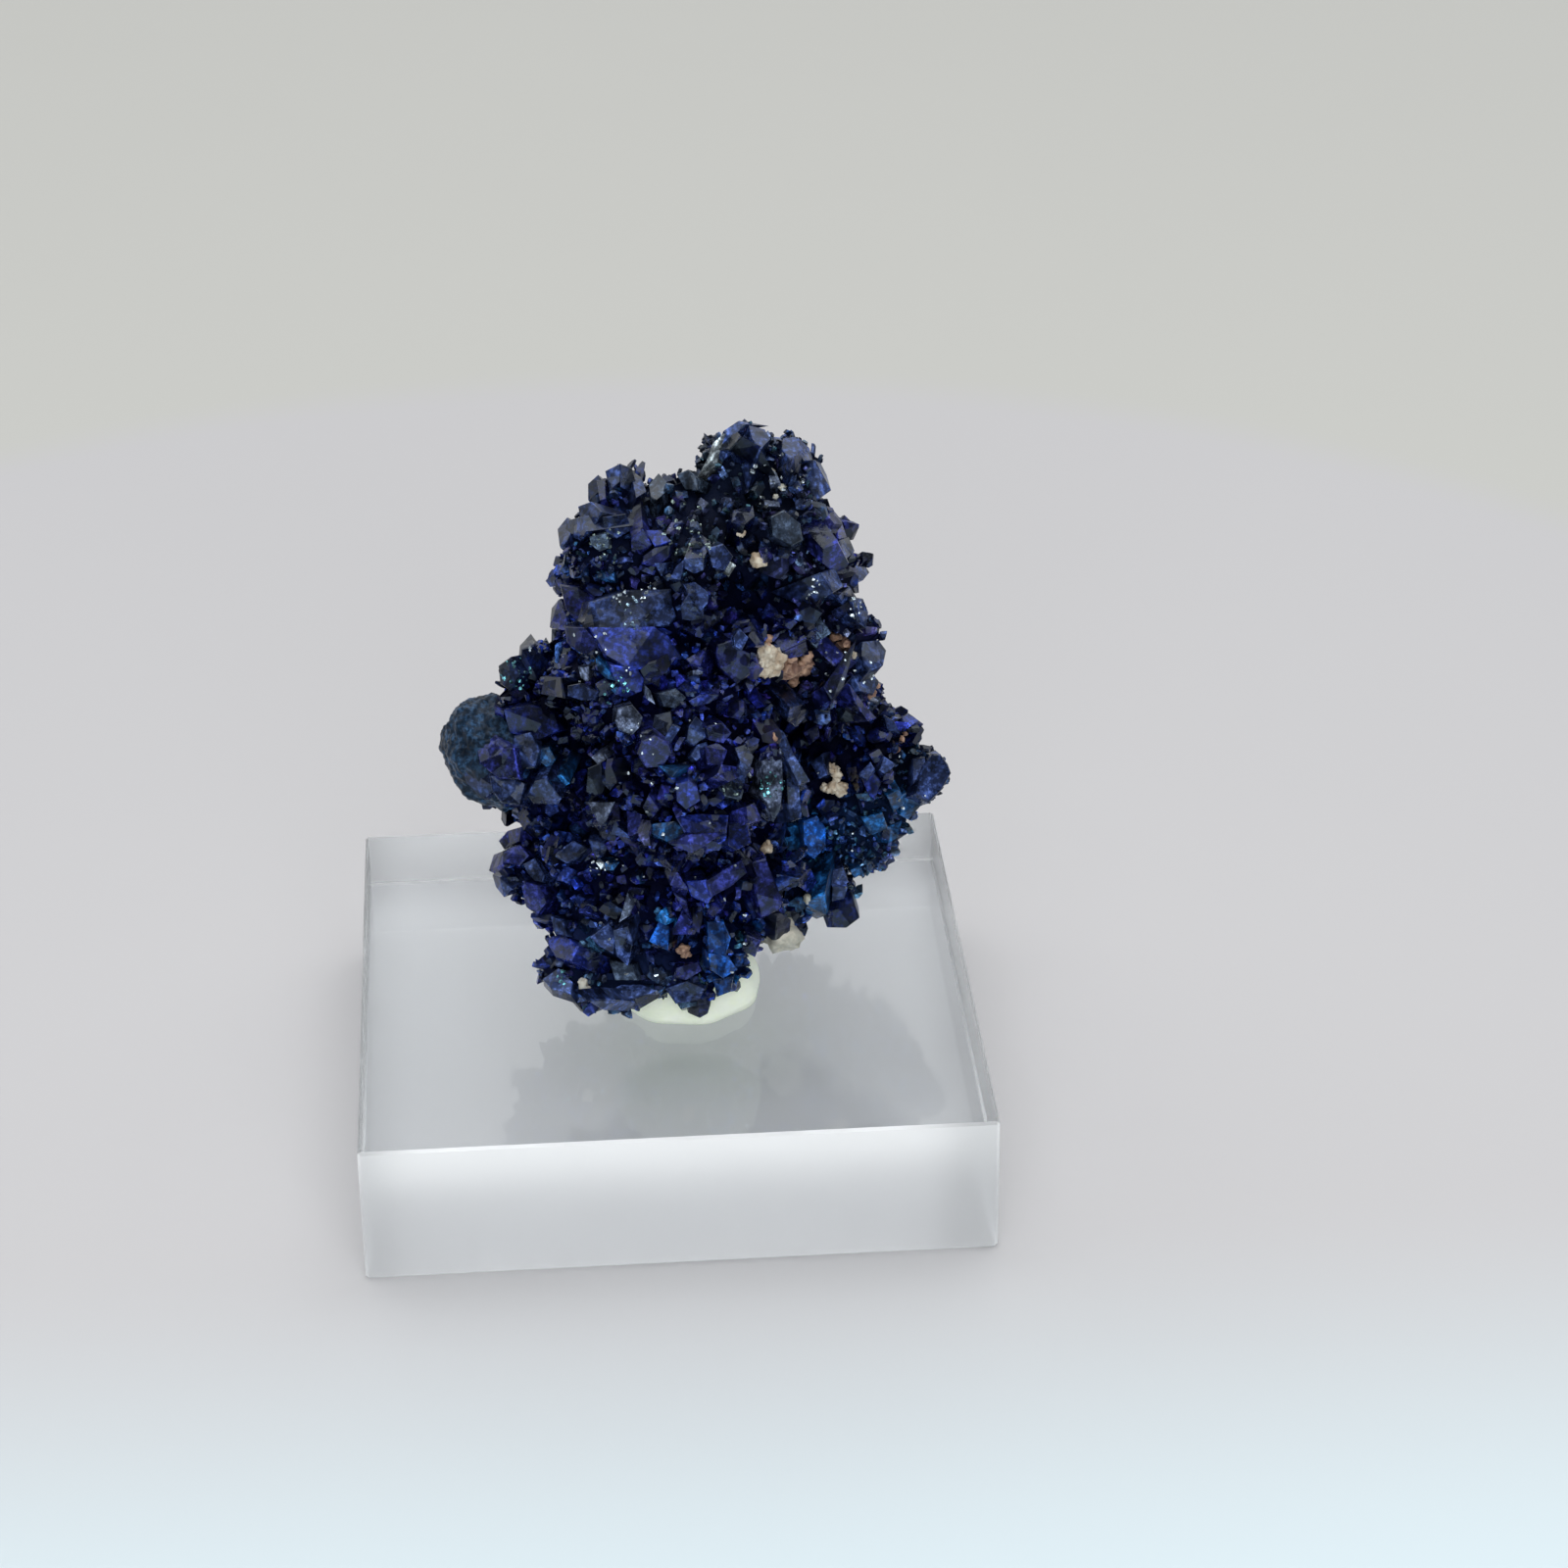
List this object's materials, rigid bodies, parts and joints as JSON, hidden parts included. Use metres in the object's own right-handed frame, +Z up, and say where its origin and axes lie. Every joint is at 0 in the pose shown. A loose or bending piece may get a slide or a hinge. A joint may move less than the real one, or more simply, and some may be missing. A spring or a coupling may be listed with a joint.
{
  "type": "azurite crystal cluster",
  "caption": "Upright cluster of intergrown blue azurite crystals, held by a dab of putty on a low square clear block.",
  "frame": {"origin": "middle of the clear block's underside", "axes": "+X to the right along the block's front edge, +Y to the back, +Z up"},
  "size_m": [0.0318, 0.0318, 0.0378],
  "materials": {
    "azurite": "glassy crystal faces",
    "clear_acrylic": "polished, clear",
    "mineral_putty": "soft satin"
  },
  "bodies": {
    "root": {"azurite_cluster": "azurite", "display_block": "clear_acrylic", "putty_dab": "mineral_putty"}
  },
  "joints": []
}
